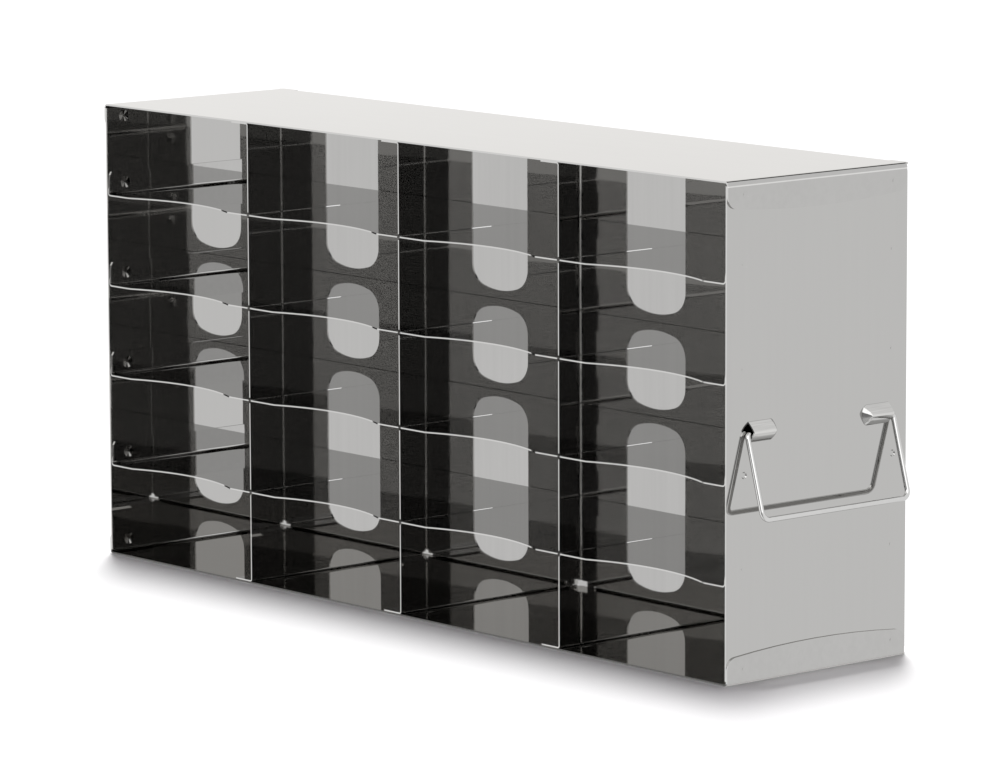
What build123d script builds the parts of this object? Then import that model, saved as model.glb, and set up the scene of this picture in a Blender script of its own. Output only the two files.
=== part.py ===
from build123d import *
import math
import os

# Upright-freezer rack for square cryogenic storage boxes: an open-fronted
# stainless sheet casing divided by an egg-crate of shelves and partitions,
# with a drop bail handle held in two pressed lugs on one end.
#
# Frame: +Z up, the open front faces -Y, the handle end faces +X.
# Origin: centre of the underside.  Millimetres.

# ---------------------------------------------------------------- dimensions
LENGTH = 560.0          # overall, over the end flanges of the covers (X)
DEPTH = 140.0           # overall, front edge to rear face (Y)
HEIGHT = 280.0          # overall (Z)

COLUMNS = 4             # compartments along X
ROWS = 5                # compartments along Z

T_CASE = 1.0            # sheet of the casing
T_GRID = 0.8            # sheet of the shelves and partitions

COVER_BEND_R = 2.5      # outer bend radius of the covers
PANEL_BEND_R = 3.0      # outer bend radius of the end panels' rear corner
PANEL_END_GAP = 1.6     # the wall sheets stop this far inside the cover sheets

FLANGE_FRONT_H = 15.0   # height of a cover's end flange at its front end
FLANGE_MID_H = 18.6     # at the middle of its arch
FLANGE_REAR_H = 14.9    # at its rear end
FLANGE_CORNER_R = 7.0
FLANGE_REAR_SETBACK = 3.0
REAR_LIP_H = 6.6        # the covers' lip over the back panel
REAR_LIP_HALF = 264.5   # half length of that lip
RETURN_W = 14.0         # the end panels' return over the back panel

GRID_FRONT_SETBACK = 0.3
GRID_REAR_GAP = 0.9     # air gap between the egg-crate and the back panel
LEFT_REAR_GAP = 0.5     # and behind the left partition
SLOT_W = 1.0            # cross-lap slots in the shelves, open at the rear
SLOT_H = 1.2            # cross-lap slots in the partitions, open at the front
SLOT_LEAD = 1.4         # lead-in chamfer at the mouth of a partition's slot
SLOT_END_Y = 2.0        # both sets of slots meet here
NICK_W, NICK_DEPTH = 2.4, 1.2   # nick in a shelf's front edge at each partition
SHELF_FLANGE_H = 14.0   # up-turned ends, welded to the end panels
FOOT_W = 15.0           # partition feet, welded to the covers
RECESS_FROM = 23.0      # finger recess in a shelf's front edge, from the
RECESS_TO = 120.0       # left side of its column
RECESS_DEPTH = 10.0

HOLE_W = 51.0           # push-out holes in the back panel
HOLE_SPANS = ((7.1, 107.2), (116.3, 163.7), (172.8, 272.9))
HOLE_END_R = 57.0       # radius of the shallow arch at each end
HOLE_CORNER_R = 13.5

RELIEF_H = 4.6          # corner reliefs at the back stop this far up
RELIEF_W = 5.0          # half width of the gap left in the covers' lip
RELIEF_END_W = 8.0      # width of the open corner at each end of the casing

WELD_D = 4.6            # electrode marks of the spot welds, outside
WELD_DEPTH = 0.3
WELD_RIM = 0.75         # width of their sloping rim
WELD_D_IN = 7.2         # and inside, at the left end
WELD_DEPTH_IN = 0.42
WELD_RIM_IN = 3.0
WELD_D_LUG = 4.0        # the deeper pair just under the lugs
WELD_DEPTH_LUG = 0.72
WELD_RIM_LUG = 0.64
WELD_Z_FRONT = (63.7, 116.5, 175.0, 233.0)
WELD_Z_REAR = (64.4, 116.5, 176.0, 232.2)
WELD_Y = (-56.7, 57.6)
COVER_WELD_H = (8.1, 9.6)   # up from the cover's face, front and rear
WELD_ABOVE_SHELF = 7.0      # at the left end, up from each shelf

LUG_HALF_H = 5.9        # half height of a lug on the panel
LUG_OUT = 5.5           # how far its two flanks would meet out from the panel
LUG_BULGE = 0.35        # bulge of the flanks
LUG_RIDGE_R = 1.0       # rounding of the ridge
LUG_WALL = 0.7          # drawn thinner than the panel
LUG_Z = 140.3
LUG_MOUTH_Y = 53.8      # open end, towards the outside
LUG_CLOSED_Y = 33.4     # closed end, where it runs out
LUG_END_SQUASH = 0.62   # the closed end is a half cone, shortened along Y

WIRE_D = 3.0            # bail wire
PIVOT_OUT = 1.7         # pivot line out from the panel's face
PIVOT_Z = 139.4
BAIL_HALF = 56.0        # half the distance between the legs
BAIL_LEG = 48.0         # pivot line to the centre of the grip
BAIL_TILT = 15.9        # outward from straight down, at rest
PIN_END_Y = 42.5        # inner end of each pivot pin
PIN_BEND_R = 2.5
GRIP_BEND_R = 4.5

# ------------------------------------------------------------------- derived
HX, HY = LENGTH / 2, DEPTH / 2
PITCH_X = LENGTH / COLUMNS
PITCH_Z = HEIGHT / ROWS
PANEL_OUT = HX - T_CASE                     # outer face of an end panel
PANEL_IN = PANEL_OUT - T_CASE
BACK_OUT = HY - T_CASE                      # outer face of the back panel
BACK_IN = BACK_OUT - T_CASE
WALL_LO = T_CASE + PANEL_END_GAP
WALL_HI = HEIGHT - WALL_LO
GRID_FRONT = -HY + GRID_FRONT_SETBACK
GRID_REAR = BACK_IN - GRID_REAR_GAP
SHELF_TOPS = [PITCH_Z * k for k in range(1, ROWS)]
PARTITION_X = [-HX + PITCH_X * k for k in range(1, COLUMNS)]

os.makedirs("parts", exist_ok=True)


def block(x0, x1, y0, y1, z0, z1):
    return Pos((x0 + x1) / 2, (y0 + y1) / 2, (z0 + z1) / 2) * Box(
        abs(x1 - x0), abs(y1 - y0), abs(z1 - z0)
    )


def corner_at(sketch, a, b):
    """The vertex of a planar sketch nearest to local point (a, b)."""
    return min(
        sketch.vertices(), key=lambda v: (Vector(v.X, v.Y, v.Z) - Vector(a, b, 0)).length
    )


def rect(a0, a1, b0, b1, rounded=()):
    """A rectangle a0..a1 by b0..b1; rounded holds (corner a, corner b, radius)."""
    s = Pos((a0 + a1) / 2, (b0 + b1) / 2) * Rectangle(a1 - a0, b1 - b0)
    for a, b, r in rounded:
        s = fillet([corner_at(s, a, b)], r)
    return s


def along_y(sketch, y0, y1):
    """Sketch coordinates (x, z), swept from y0 to y1."""
    return Pos(0, y0, 0) * extrude(Plane.XZ * sketch, -(y1 - y0), dir=(0, -1, 0))


def along_x(sketch, x0, x1):
    """Sketch coordinates (y, z), swept from x0 to x1."""
    return Pos(x0, 0, 0) * extrude(Plane.YZ * sketch, x1 - x0, dir=(1, 0, 0))


def weld_mark(x_face, y, z, outward, d=WELD_D, depth=WELD_DEPTH, rim=WELD_RIM):
    """Shallow flat-bottomed dish with a sloping rim, left by a weld electrode in a
    face at x_face."""
    over = 0.1
    slope = rim / depth
    cone = Cone(d / 2 - rim, d / 2 + over * slope, depth + over)
    return Pos(x_face + outward * (over - depth) / 2, y, z) * Rot(0, 90 * outward, 0) * cone


# ---------------------------------------------------------------- top cover
# One sheet: flat top, end flanges bent down outside the end panels, and a
# short lip bent down behind the back panel.
r_o, r_i = COVER_BEND_R, COVER_BEND_R - T_CASE
rear_y = HY - FLANGE_REAR_SETBACK
low = HEIGHT - 25.0
channel = rect(-HX, HX, low, HEIGHT, ((-HX, HEIGHT, r_o), (HX, HEIGHT, r_o))) - rect(
    -HX + T_CASE,
    HX - T_CASE,
    low - 5,
    HEIGHT - T_CASE,
    ((-HX + T_CASE, HEIGHT - T_CASE, r_i), (HX - T_CASE, HEIGHT - T_CASE, r_i)),
)
channel = along_y(channel, -HY, rear_y)

with BuildSketch() as outline:
    with BuildLine():
        Line((-HY, HEIGHT + 1), (-HY, HEIGHT - FLANGE_FRONT_H))
        ThreePointArc(
            (-HY, HEIGHT - FLANGE_FRONT_H),
            (0, HEIGHT - FLANGE_MID_H),
            (rear_y, HEIGHT - FLANGE_REAR_H),
        )
        Line((rear_y, HEIGHT - FLANGE_REAR_H), (rear_y, HEIGHT + 1))
        Line((rear_y, HEIGHT + 1), (-HY, HEIGHT + 1))
    make_face()
flange_outline = outline.sketch
for a, b in ((-HY, HEIGHT - FLANGE_FRONT_H), (rear_y, HEIGHT - FLANGE_REAR_H)):
    flange_outline = fillet([corner_at(flange_outline, a, b)], FLANGE_CORNER_R)
channel = channel & along_x(flange_outline, -HX - 1, HX + 1)

lip = rect(40, HY, HEIGHT - REAR_LIP_H, HEIGHT, ((HY, HEIGHT, r_o),)) - rect(
    39, HY - T_CASE, HEIGHT - REAR_LIP_H - 5, HEIGHT - T_CASE, ((HY - T_CASE, HEIGHT - T_CASE, r_i),)
)
lip = along_x(lip, -REAR_LIP_HALF, REAR_LIP_HALF)
top_cover = channel + lip
for k in range(1, COLUMNS):
    xp = -HX + PITCH_X * k
    top_cover = top_cover - block(
        xp - RELIEF_W, xp + RELIEF_W, BACK_IN - 2, HY + 1, HEIGHT - 12, HEIGHT - T_CASE - 0.3
    )
for side in (-1, 1):
    # flat corner tab over the rear corner of the casing
    tab = rect(
        REAR_LIP_HALF, PANEL_OUT, rear_y, HY, ((PANEL_OUT, HY, PANEL_BEND_R - 0.2),)
    )
    tab = extrude(Pos(0, 0, HEIGHT - T_CASE) * tab, T_CASE, dir=(0, 0, 1))
    if side < 0:
        tab = mirror(tab, Plane.YZ)
    top_cover = top_cover + tab
    for y, h in zip(WELD_Y, COVER_WELD_H):
        top_cover = top_cover - weld_mark(side * HX, y, HEIGHT - h, side)

# --------------------------------------------------------------- bottom pan
# The same pressing the other way up.
bottom_pan = mirror(top_cover, Plane.XY.offset(HEIGHT / 2))

# --------------------------------------------------------------- end panels
section = rect(
    PANEL_OUT - RETURN_W, PANEL_OUT, -HY, HY, ((PANEL_OUT, HY, PANEL_BEND_R),)
) - rect(
    PANEL_OUT - RETURN_W - 5,
    PANEL_IN,
    -HY - 5,
    HY - T_CASE,
    ((PANEL_IN, HY - T_CASE, PANEL_BEND_R - T_CASE),),
)


def end_panel(weld_rows):
    """The +X end's sheet; weld_rows holds the mark heights of its front and rear row."""
    s = extrude(Pos(0, 0, WALL_LO) * section, WALL_HI - WALL_LO, dir=(0, 0, 1))
    for y, zs in zip(WELD_Y, weld_rows):
        for z in zs:
            if abs(z - 116.5) < 0.1:
                mark = (WELD_D_LUG, WELD_DEPTH_LUG, WELD_RIM_LUG)
            else:
                mark = (WELD_D, WELD_DEPTH, WELD_RIM)
            s = s - weld_mark(PANEL_OUT, y, z, 1, *mark)
    x_tab = PANEL_OUT - RETURN_W / 2
    for za, zb in ((WALL_LO - 1, RELIEF_H), (HEIGHT - RELIEF_H, WALL_HI + 1)):
        s = s - block(x_tab, PANEL_OUT + 1, HY - PANEL_BEND_R, HY + 1, za, zb)
    # beside the covers' lip the return runs right up to the cover
    for za, zb in ((T_CASE, WALL_LO + 1), (WALL_HI - 1, HEIGHT - T_CASE)):
        s = s + block(PANEL_OUT - RETURN_W + 0.5, x_tab, HY - T_CASE, HY, za, zb)
    return s


left_rows = [z + WELD_ABOVE_SHELF for z in SHELF_TOPS]
left_end_panel = mirror(end_panel((left_rows, left_rows)), Plane.YZ)
for y, h in zip(WELD_Y, COVER_WELD_H):
    for z in (h, HEIGHT - h):
        left_end_panel = left_end_panel - weld_mark(
            -PANEL_IN, y, z, 1, WELD_D_IN, WELD_DEPTH_IN, WELD_RIM_IN
        )


def lug_section(inset=0.0, half=False):
    """Pointed arch on the panel's face, in the XZ plane through the origin; half of
    it is the part above Z = 0."""
    k = inset * math.hypot(1 / LUG_OUT, 1 / LUG_HALF_H)
    hh, out = LUG_HALF_H * (1 - k), LUG_OUT * (1 - k)
    length = math.hypot(hh, out)
    nx, nz = hh / length * LUG_BULGE, out / length * LUG_BULGE
    base = -T_CASE / 2 if inset == 0 else -0.15
    with BuildSketch(Plane.XZ) as sec:
        with BuildLine():
            ThreePointArc((0, -hh), (out / 2 + nx, -hh / 2 - nz), (out, 0))
            ThreePointArc((out, 0), (out / 2 + nx, hh / 2 + nz), (0, hh))
            Polyline((0, hh), (base, hh), (base, -hh), (0, -hh))
        make_face()
    face = sec.sketch
    ridge = min(face.vertices(), key=lambda v: abs(v.X - out) + abs(v.Z))
    face = fillet([ridge], LUG_RIDGE_R if inset == 0 else LUG_RIDGE_R * 0.5)
    if half:
        face = face & (Plane.XZ * (Pos(0, 10) * Rectangle(40, 20)))
    return face


def lug_solid(inset, y_mouth, y_tip):
    """Straight body from the mouth, closed by a half cone whose tip lies at y_tip."""
    k = inset * math.hypot(1 / LUG_OUT, 1 / LUG_HALF_H)
    y_cone = y_tip - LUG_END_SQUASH * LUG_HALF_H * (1 - k)
    body = Pos(0, y_mouth, 0) * extrude(lug_section(inset), y_cone - y_mouth, dir=(0, 1, 0))
    cone = revolve(lug_section(inset, half=True), Axis.X, 360)
    cone = Pos(0, y_cone, 0) * scale(cone, by=(1, LUG_END_SQUASH, 1))
    return Pos(PANEL_OUT, 0, LUG_Z) * (body + cone)


lug_outer = lug_solid(0.0, -LUG_MOUTH_Y, -LUG_CLOSED_Y)
lug_inner = lug_solid(LUG_WALL, -LUG_MOUTH_Y - 0.01, -LUG_CLOSED_Y - LUG_WALL)
handle_end_panel = end_panel((WELD_Z_FRONT, WELD_Z_REAR))
for flip in (False, True):
    outer = mirror(lug_outer, Plane.XZ) if flip else lug_outer
    inner = mirror(lug_inner, Plane.XZ) if flip else lug_inner
    handle_end_panel = handle_end_panel + outer - inner

# --------------------------------------------------------------- back panel
back_half = PANEL_IN - (PANEL_BEND_R - T_CASE) - 0.5
back_panel = block(-back_half, back_half, BACK_IN, BACK_OUT, WALL_LO, WALL_HI)


def hole_outline(z0, z1):
    w = HOLE_W / 2
    rise = HOLE_END_R - math.sqrt(HOLE_END_R**2 - w**2)
    with BuildSketch() as s:
        with BuildLine():
            ThreePointArc((-w, z0 + rise), (0, z0), (w, z0 + rise))
            Line((w, z0 + rise), (w, z1 - rise))
            ThreePointArc((w, z1 - rise), (0, z1), (-w, z1 - rise))
            Line((-w, z1 - rise), (-w, z0 + rise))
        make_face()
    out = s.sketch
    for a in (-w, w):
        for b in (z0 + rise, z1 - rise):
            out = fillet([corner_at(out, a, b)], HOLE_CORNER_R)
    return out


for c in range(COLUMNS):
    xc = -HX + PITCH_X * (c + 0.5)
    for z0, z1 in HOLE_SPANS:
        back_panel = back_panel - Pos(xc, 0, 0) * along_y(
            hole_outline(z0, z1), BACK_IN - 2, BACK_OUT + 2
        )

# corner reliefs, so that each compartment drains at its back corners
for k in range(1, COLUMNS):
    for z in (WALL_LO, WALL_HI):
        back_panel = back_panel - Pos(-HX + PITCH_X * k, BACK_IN, z) * Rot(90, 0, 0) * Cylinder(
            RELIEF_H - WALL_LO, 4
        )
for side in (-1, 1):
    for za, zb in ((WALL_LO - 1, RELIEF_H), (HEIGHT - RELIEF_H, WALL_HI + 1)):
        back_panel = back_panel - block(
            side * (PANEL_OUT - RELIEF_END_W), side * HX, BACK_IN - 2, HY + 1, za, zb
        )

# ------------------------------------------------------------------ shelves
g_i = 1.7                                   # inner bend radius, shelf ends


def shelf(z_top):
    z0 = z_top - T_GRID
    prof = rect(
        -PANEL_IN,
        PANEL_IN,
        z0,
        z_top + SHELF_FLANGE_H,
        ((-PANEL_IN, z0, g_i + T_GRID), (PANEL_IN, z0, g_i + T_GRID)),
    ) - rect(
        -PANEL_IN + T_GRID,
        PANEL_IN - T_GRID,
        z_top,
        z_top + SHELF_FLANGE_H + 5,
        ((-PANEL_IN + T_GRID, z_top, g_i), (PANEL_IN - T_GRID, z_top, g_i)),
    )
    s = along_y(prof, GRID_FRONT, GRID_REAR)
    # the flange's upper corners are cut off at a slant
    for y, n in ((GRID_FRONT, 1), (GRID_REAR, -1)):
        with BuildSketch() as clip:
            with BuildLine():
                Polyline(
                    (y - n, z_top + 3),
                    (y, z_top + 3),
                    (y + n * 1.4, z_top + SHELF_FLANGE_H - 2),
                    (y + n * 3.2, z_top + SHELF_FLANGE_H + 1),
                    (y - n, z_top + SHELF_FLANGE_H + 1),
                    close=True,
                )
            make_face()
        s = s - along_x(clip.sketch, -HX, HX)
    for y in WELD_Y:
        s = s - weld_mark(
            -(PANEL_IN - T_GRID),
            y,
            z_top + WELD_ABOVE_SHELF,
            1,
            WELD_D_IN,
            WELD_DEPTH_IN,
            WELD_RIM_IN,
        )
    for xp in PARTITION_X:
        s = s - block(xp - SLOT_W / 2, xp + SLOT_W / 2, SLOT_END_Y, GRID_REAR + 1, z0 - 1, z_top + 1)
        s = s - block(
            xp - NICK_W / 2, xp + NICK_W / 2, -HY - 1, GRID_FRONT + NICK_DEPTH, z0 - 1, z_top + 1
        )
    half = (RECESS_TO - RECESS_FROM) / 2
    r = (half**2 + RECESS_DEPTH**2) / (2 * RECESS_DEPTH)
    for c in range(COLUMNS):
        xm = -HX + PITCH_X * c + (RECESS_FROM + RECESS_TO) / 2
        s = s - Pos(xm, GRID_FRONT + RECESS_DEPTH - r, z_top) * Cylinder(r, 6)
    return s


shelves = [shelf(z) for z in SHELF_TOPS]

# --------------------------------------------------------------- partitions
p_i = 0.8                                   # inner bend radius, feet


def partition(xp, rear):
    x0, x1 = xp + T_GRID / 2, xp - FOOT_W   # the feet point to -X
    z0, z1 = T_CASE, HEIGHT - T_CASE
    prof = rect(x1, x0, z0, z1, ((x0, z0, p_i + T_GRID), (x0, z1, p_i + T_GRID))) - rect(
        x1 - 5,
        x0 - T_GRID,
        z0 + T_GRID,
        z1 - T_GRID,
        ((x0 - T_GRID, z0 + T_GRID, p_i), (x0 - T_GRID, z1 - T_GRID, p_i)),
    )
    s = along_y(prof, GRID_FRONT, rear)
    # the feet stop short of the rear edge
    for za, zb in ((z0 - 1, z0 + 5), (z1 - 5, z1 + 1)):
        s = s - block(x1 - 1, xp - T_GRID / 2 - p_i - 0.2, rear - 3, rear + 1, za, zb)
    for zt in SHELF_TOPS:
        zb = zt - T_GRID - 0.1
        zu = zb + SLOT_H
        with BuildSketch() as slot:
            with BuildLine():
                Polyline(
                    (-HY - 1, zb - SLOT_LEAD - 0.7),
                    (GRID_FRONT + SLOT_LEAD, zb),
                    (SLOT_END_Y, zb),
                    (SLOT_END_Y, zu),
                    (GRID_FRONT + SLOT_LEAD, zu),
                    (-HY - 1, zu + SLOT_LEAD + 0.7),
                    close=True,
                )
            make_face()
        s = s - along_x(slot.sketch, xp - T_GRID / 2 - 1, x0 + 1)
    # rear corners cut off, clear of the corner reliefs
    for zc in (z0, z1):
        n = 1 if zc == z0 else -1
        with BuildSketch() as clip:
            with BuildLine():
                Polyline(
                    (rear - RELIEF_H, zc - n),
                    (rear - RELIEF_H, zc),
                    (rear, zc + n * RELIEF_H),
                    (rear + 1, zc + n * RELIEF_H),
                    (rear + 1, zc - n),
                    close=True,
                )
            make_face()
        s = s - along_x(clip.sketch, x1 - 1, x0 + 1)
    return s


partitions = [
    partition(x, BACK_IN - (LEFT_REAR_GAP if k == 0 else GRID_REAR_GAP))
    for k, x in enumerate(PARTITION_X)
]

# -------------------------------------------------------------- bail handle
# One bent wire: pivot pin, leg, grip, leg, pivot pin.
tilt = math.radians(BAIL_TILT)
px = PANEL_OUT + PIVOT_OUT
gx, gz = px + BAIL_LEG * math.sin(tilt), PIVOT_Z - BAIL_LEG * math.cos(tilt)
wire_path = FilletPolyline(
    (px, -PIN_END_Y, PIVOT_Z),
    (px, -BAIL_HALF, PIVOT_Z),
    (gx, -BAIL_HALF, gz),
    (gx, BAIL_HALF, gz),
    (px, BAIL_HALF, PIVOT_Z),
    (px, PIN_END_Y, PIVOT_Z),
    radius=[PIN_BEND_R, GRIP_BEND_R, GRIP_BEND_R, PIN_BEND_R],
)
start = Plane(origin=(px, -PIN_END_Y, PIVOT_Z), z_dir=(0, -1, 0))
bail_handle = sweep(start * Circle(WIRE_D / 2), path=wire_path)

# ------------------------------------------------------------------- output
nodes = {
    "top_cover": top_cover,
    "bottom_pan": bottom_pan,
    "back_panel": back_panel,
    "left_end_panel": left_end_panel,
    "handle_end_panel": handle_end_panel,
    "bail_handle": bail_handle,
}
for name, piece in zip(("left", "middle", "right"), partitions):
    nodes["partition_" + name] = piece
for k, piece in enumerate(shelves, 1):
    nodes["shelf_%d" % k] = piece

for name, shape in nodes.items():
    print(name, len(shape.solids()), "solid(s)", round(shape.volume, 1), "mm3")
    export_step(shape, os.path.join("parts", name + ".step"))
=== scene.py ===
import bpy, bmesh, math
from mathutils import Matrix, Quaternion, Vector

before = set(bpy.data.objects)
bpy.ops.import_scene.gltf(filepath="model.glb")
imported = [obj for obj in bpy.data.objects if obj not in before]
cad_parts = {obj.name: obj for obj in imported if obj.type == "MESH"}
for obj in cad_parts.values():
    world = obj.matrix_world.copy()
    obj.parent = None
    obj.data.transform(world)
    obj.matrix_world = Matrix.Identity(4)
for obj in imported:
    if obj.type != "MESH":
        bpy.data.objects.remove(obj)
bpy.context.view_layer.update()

scene = bpy.context.scene

# ------------------------------------------------------------------ settings
STEEL = (0.474, 0.470, 0.462)      # normal-incidence reflectance of the sheet
GRAZING = (0.74, 0.74, 0.74, 1.0)  # how far the grazing reflectance falls short of the ideal
WIRE = (0.62, 0.617, 0.61)


# ------------------------------------------------------------ node utilities
class Tree:
    """Small helper for building node trees."""

    def __init__(self, tree):
        self.t = tree
        tree.nodes.clear()

    def n(self, kind, **kw):
        node = self.t.nodes.new(kind)
        for k, v in kw.items():
            if k == "inputs":
                for name, val in v.items():
                    sock = node.inputs[name]
                    if isinstance(val, bpy.types.NodeSocket):
                        self.t.links.new(val, sock)
                    else:
                        sock.default_value = val
            else:
                setattr(node, k, v)
        return node

    def math(self, op, a, b=None, c=None, clamp=False):
        node = self.t.nodes.new("ShaderNodeMath")
        node.operation = op
        node.use_clamp = clamp
        for i, v in enumerate((a, b, c)):
            if v is None:
                continue
            if isinstance(v, bpy.types.NodeSocket):
                self.t.links.new(v, node.inputs[i])
            else:
                node.inputs[i].default_value = v
        return node.outputs[0]

    def link(self, a, b):
        self.t.links.new(a, b)


def noise(T, coord, scale, stretch=(1, 1, 1), detail=3.0, rough=0.5, loc=(0, 0, 0)):
    m = T.n("ShaderNodeMapping", inputs={"Vector": coord, "Scale": stretch, "Location": loc})
    t = T.n("ShaderNodeTexNoise", inputs={"Vector": m.outputs[0], "Scale": scale, "Detail": detail, "Roughness": rough})
    return t.outputs["Fac"]


def ranged(T, value, lo, hi, a, b, smooth=False):
    m = T.n("ShaderNodeMapRange", inputs={"Value": value, "From Min": lo, "From Max": hi, "To Min": a, "To Max": b})
    m.interpolation_type = "SMOOTHSTEP" if smooth else "LINEAR"
    m.clamp = True
    return m.outputs[0]


def band(T, value, lo, hi, soft=0.0002):
    """1 between lo and hi, fading over soft outside them."""
    up = ranged(T, value, lo - soft, lo, 0.0, 1.0)
    return T.math("MULTIPLY", up, ranged(T, value, hi, hi + soft, 1.0, 0.0))


def cover_painted_highlight_and_shade(T, co):
    """Painted highlight along the bend of the end flanges, and painted shade on the front edge of the pan."""
    px, py, pz = T.n("ShaderNodeSeparateXYZ", inputs={"Vector": co}).outputs
    ends = ranged(T, T.math("ABSOLUTE", px), 0.2795, 0.2798, 0.0, 1.0)
    # painted highlight: a lighter line in the colour along the flange bend
    painted_bend_highlight = T.math("MULTIPLY", ends, band(T, pz, 0.2767, 0.2773, 0.00015))
    # painted shade: the pan's front edge darkened in the colour
    painted_edge_shade = T.math("MULTIPLY", ranged(T, py, -0.07, -0.0698, 1.0, 0.0), ranged(T, pz, 0.0012, 0.0016, 1.0, 0.0))
    m = T.math("MULTIPLY_ADD", painted_bend_highlight, 0.45, 1.0)
    return T.math("MULTIPLY", m, T.math("MULTIPLY_ADD", painted_edge_shade, -0.8, 1.0))


def lug_streaks_and_painted_light(T, co):
    """The lugs: lighter than the panel and streaked along their length, with a painted highlight on the ridge and a
    painted shade line at the foot.
    """
    px, py, pz = T.n("ShaderNodeSeparateXYZ", inputs={"Vector": co}).outputs
    lug_body = ranged(T, px, 0.2792, 0.2794, 0.0, 1.0)
    # painted shade: a darker line in the colour where the lug meets the panel
    painted_foot_shade = band(T, px, 0.27905, 0.2793, 0.00005)
    # painted highlight: the ridge of the lug made lighter in the colour
    painted_ridge_highlight = ranged(T, px, 0.2839, 0.2841, 0.0, 1.0)
    streak = ranged(T, noise(T, co, 1100.0, (1, 0.03, 1), 2.0, 0.6), 0.35, 0.65, 0.02, 0.2)
    m = T.math("MULTIPLY_ADD", lug_body, streak, 1.0)
    m = T.math("MULTIPLY_ADD", painted_ridge_highlight, 0.2, m)
    return T.math("MULTIPLY_ADD", painted_foot_shade, -0.28, m)


def steel(name, base, grain_axis="X", rough=(0.012, 0.034), grain=0.012, wave=0.16, seed=0.0, tone_amp=0.03, grazing=GRAZING, marks_and_painted_light=None):
    """Bright rolled stainless sheet: faint rolling grain, slow waviness of the sheet, hazy finger smears."""
    mat = bpy.data.materials.new(name)
    mat.use_nodes = True
    T = Tree(mat.node_tree)
    out = T.n("ShaderNodeOutputMaterial")
    bsdf = T.n("ShaderNodeBsdfPrincipled")
    bsdf.inputs["Metallic"].default_value = 1.0
    bsdf.inputs["Specular Tint"].default_value = grazing
    T.link(bsdf.outputs[0], out.inputs[0])
    co = T.n("ShaderNodeTexCoord").outputs["Object"]
    k = {"X": (0.035, 1, 1), "Y": (1, 0.035, 1), "Z": (1, 1, 0.035)}[grain_axis]
    off = (seed, seed * 1.7, seed * 0.6)
    fine = noise(T, co, 1500.0, k, 2.0, 0.6, off)          # rolling grain, 0.7 mm apart
    broad = noise(T, co, 260.0, k, 2.0, 0.5, off)          # wider bands of it
    cloud = noise(T, co, 9.0, (1, 1, 1), 3.0, 0.55, off)   # smears and handling haze
    slow = noise(T, co, 7.0, (1, 1, 1), 0.0, 0.5, off)     # the sheet isn't dead flat
    # roughness: grain and smears
    r = T.math("ADD", ranged(T, fine, 0.35, 0.65, 0.0, 0.35), ranged(T, broad, 0.3, 0.7, 0.0, 0.25))
    r = T.math("ADD", r, ranged(T, cloud, 0.4, 0.7, 0.0, 0.4))
    T.link(ranged(T, r, 0.0, 1.0, rough[0], rough[1]), bsdf.inputs["Roughness"])
    # colour: a little tone in the grain and smears
    tone = T.math("ADD", ranged(T, broad, 0.3, 0.7, -0.5, 0.5), ranged(T, cloud, 0.3, 0.7, 0.6, -0.6))
    tone = T.math("MULTIPLY_ADD", tone, tone_amp, 1.0)
    # painted highlights and painted shade (and the lug streaks) from the given function are multiplied into the colour
    # here
    if marks_and_painted_light:
        tone = T.math("MULTIPLY", tone, marks_and_painted_light(T, co))
    mul = T.n("ShaderNodeVectorMath", operation="SCALE")
    mul.inputs[0].default_value = base
    T.link(tone, mul.inputs["Scale"])
    T.link(mul.outputs[0], bsdf.inputs["Base Color"])
    # bump: grain over slow waviness
    b1 = T.n("ShaderNodeBump", inputs={"Strength": wave, "Distance": 0.0006, "Height": slow})
    b2 = T.n("ShaderNodeBump", inputs={"Strength": grain, "Distance": 0.0001, "Height": fine, "Normal": b1.outputs[0]})
    T.link(b2.outputs[0], bsdf.inputs["Normal"])
    return mat


mats = {
    "cover": steel("steel_cover", STEEL, "X", grain=0.006, seed=0.3, grazing=(0.655, 0.645, 0.63, 1.0), marks_and_painted_light=cover_painted_highlight_and_shade),
    "end": steel("steel_end", (0.486, 0.482, 0.473), "Z", seed=1.1, tone_amp=0.008, grain=0.005, marks_and_painted_light=lug_streaks_and_painted_light),
    "back": steel("steel_back", STEEL, "X", grain=0.006, seed=2.3),
    "shelf": steel("steel_shelf", STEEL, "X", grain=0.006, seed=3.7),
    "partition": steel("steel_partition", STEEL, "Z", grain=0.006, seed=4.9),
    "wire": steel("steel_wire", WIRE, "Z", rough=(0.06, 0.10), grain=0.012, wave=0.0, seed=6.1),
}
USE = {
    "top_cover": "cover", "bottom_pan": "cover", "back_panel": "back",
    "left_end_panel": "end", "handle_end_panel": "end", "bail_handle": "wire",
}
for name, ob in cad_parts.items():
    key = USE.get(name) or ("shelf" if name.startswith("shelf") else "partition")
    ob.data.materials.clear()
    ob.data.materials.append(mats[key])

# ---------------------------------------------------------------------- stage
bm = bmesh.new()
bmesh.ops.create_grid(bm, x_segments=1, y_segments=1, size=1.0)
me = bpy.data.meshes.new("floor")
bm.to_mesh(me); bm.free()
floor = bpy.data.objects.new("floor", me)
floor.scale = (30, 30, 1)
floor.location = (0, 0, -0.0002)
scene.collection.objects.link(floor)
fm = bpy.data.materials.new("floor_paper")
fm.use_nodes = True
T = Tree(fm.node_tree)
o = T.n("ShaderNodeOutputMaterial")
d = T.n("ShaderNodeBsdfDiffuse", inputs={"Color": (0.93, 0.93, 0.93, 1)})
T.link(d.outputs[0], o.inputs[0])
me.materials.append(fm)
floor.visible_glossy = False

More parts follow.
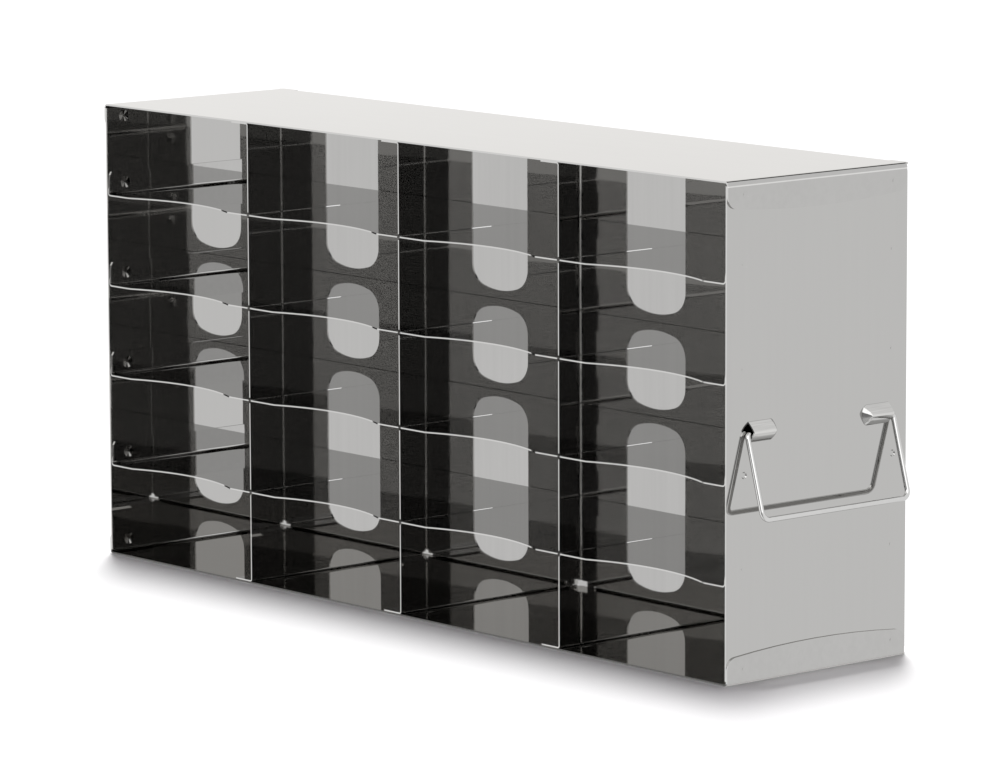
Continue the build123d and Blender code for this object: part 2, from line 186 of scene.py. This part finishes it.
# ---------------------------------------------------------------------- world
# A white studio, given by direction: bright panels behind and to the left, a dark
# gap low down on the near side where the studio opens, and a dim ceiling edge behind.
world = bpy.data.worlds.new("studio")
scene.world = world
world.use_nodes = True
world.cycles.sampling_method = "NONE"
T = Tree(world.node_tree)
o = T.n("ShaderNodeOutputWorld")
D = T.n("ShaderNodeTexCoord").outputs["Generated"]
sep = T.n("ShaderNodeSeparateXYZ", inputs={"Vector": D})
x, y, z = sep.outputs
h = T.math("SQRT", T.math("ADD", T.math("MULTIPLY", x, x), T.math("MULTIPLY", y, y)))
h = T.math("MAXIMUM", h, 1e-4)


def lobe(azimuth, inner, outer):
    """1 within inner degrees of that azimuth (0 is +X, 90 is +Y), 0 beyond outer."""
    a = math.radians(azimuth)
    dot = T.math("ADD", T.math("MULTIPLY", x, math.cos(a)), T.math("MULTIPLY", y, math.sin(a)))
    dot = T.math("DIVIDE", dot, h)
    return ranged(T, dot, math.cos(math.radians(outer)), math.cos(math.radians(inner)), 0.0, 1.0, True)


def height(lo, hi, fade=3.0):
    """1 between those elevations in degrees, fading over a few degrees outside them."""
    s = lambda d: math.sin(math.radians(max(-90.0, min(90.0, d))))
    up = ranged(T, z, s(lo - fade), s(lo), 0.0, 1.0, True) if lo > -90 else 1.0
    down = ranged(T, z, s(hi), s(hi + fade), 1.0, 0.0, True) if hi < 90 else 1.0
    return T.math("MULTIPLY", up, down)


def toward(level, amount, value):
    """level moved to value by amount."""
    return T.math("ADD", level, T.math("MULTIPLY", amount, T.math("SUBTRACT", value, level)))


level = 1.0
level = toward(level, T.math("MULTIPLY", lobe(150, 42, 62), height(-25, 26, 6)), 1.47)     # behind, left
level = toward(level, T.math("MULTIPLY", lobe(-138, 34, 52), height(-90, 40, 10)), 1.30)   # front, left
level = toward(level, T.math("MULTIPLY", lobe(109, 12, 17), height(33, 56, 4)), 0.05)       # ceiling edge behind
level = toward(level, T.math("MULTIPLY", lobe(-50, 40, 60), height(15, 50, 8)), 1.9)      # panel over the viewer
gap = T.math("MULTIPLY", lobe(-62, 19.5, 30), height(-90, 11, 2.5))
level = toward(level, gap, ranged(T, z, -0.55, -0.22, 0.60, 0.27))
bg = T.n("ShaderNodeBackground", inputs={"Color": (1.0, 1.0, 1.0, 1)})
T.link(level, bg.inputs["Strength"])
fill = T.n("ShaderNodeBackground", inputs={"Color": (1.0, 0.84, 1.0, 1), "Strength": 0.09})
seen = T.n("ShaderNodeBackground", inputs={"Color": (1.0, 1.0, 1.0, 1), "Strength": 1.0})
lp = T.n("ShaderNodeLightPath")
mix = T.n("ShaderNodeMixShader", inputs={0: lp.outputs["Is Diffuse Ray"], 1: bg.outputs[0], 2: fill.outputs[0]})
mix = T.n("ShaderNodeMixShader", inputs={0: lp.outputs["Is Camera Ray"], 1: mix.outputs[0], 2: seen.outputs[0]})
T.link(mix.outputs[0], o.inputs[0])

# an overhead strip softbox reaching back behind the rack, in six steps, for the floor
back_az = math.radians(139.2)
for k, (tilt, share, width) in enumerate(
    ((1.5, 0.22, 8), (6.5, 0.16, 8), (11.0, 0.19, 8), (15.0, 0.18, 8), (19.5, 0.15, 8), (24.0, 0.10, 8))
):
    sun = bpy.data.lights.new("overhead_%d" % k, "SUN")
    sun.energy = 3.72 * share
    sun.angle = math.radians(width)
    overhead = bpy.data.objects.new("overhead_%d" % k, sun)
    a = math.radians(tilt)
    overhead.rotation_mode = "QUATERNION"
    overhead.rotation_quaternion = Vector(
        (math.sin(a) * math.cos(back_az), math.sin(a) * math.sin(back_az), math.cos(a))
    ).to_track_quat("Z", "Y")
    overhead.visible_glossy = False
    scene.collection.objects.link(overhead)

# --------------------------------------------------------------------- camera
cam = bpy.data.cameras.new("camera")
cam.sensor_fit = "HORIZONTAL"
cam.sensor_width = 36.0
cam.lens = 214.9891
cam.clip_start, cam.clip_end = 0.1, 100.0
camera = bpy.data.objects.new("camera", cam)
camera.rotation_mode = "QUATERNION"
camera.location = (2.63717883, -2.27728937, 0.65841026)
camera.rotation_quaternion = Quaternion((0.6903908425, 0.5924502420, 0.2718578023, 0.3137778364))
scene.collection.objects.link(camera)
scene.camera = camera
scene.view_settings.view_transform = "Standard"
scene.view_settings.look = "None"
scene.cycles.max_bounces = 24
scene.cycles.glossy_bounces = 20
scene.cycles.diffuse_bounces = 4
scene.cycles.use_denoising = True
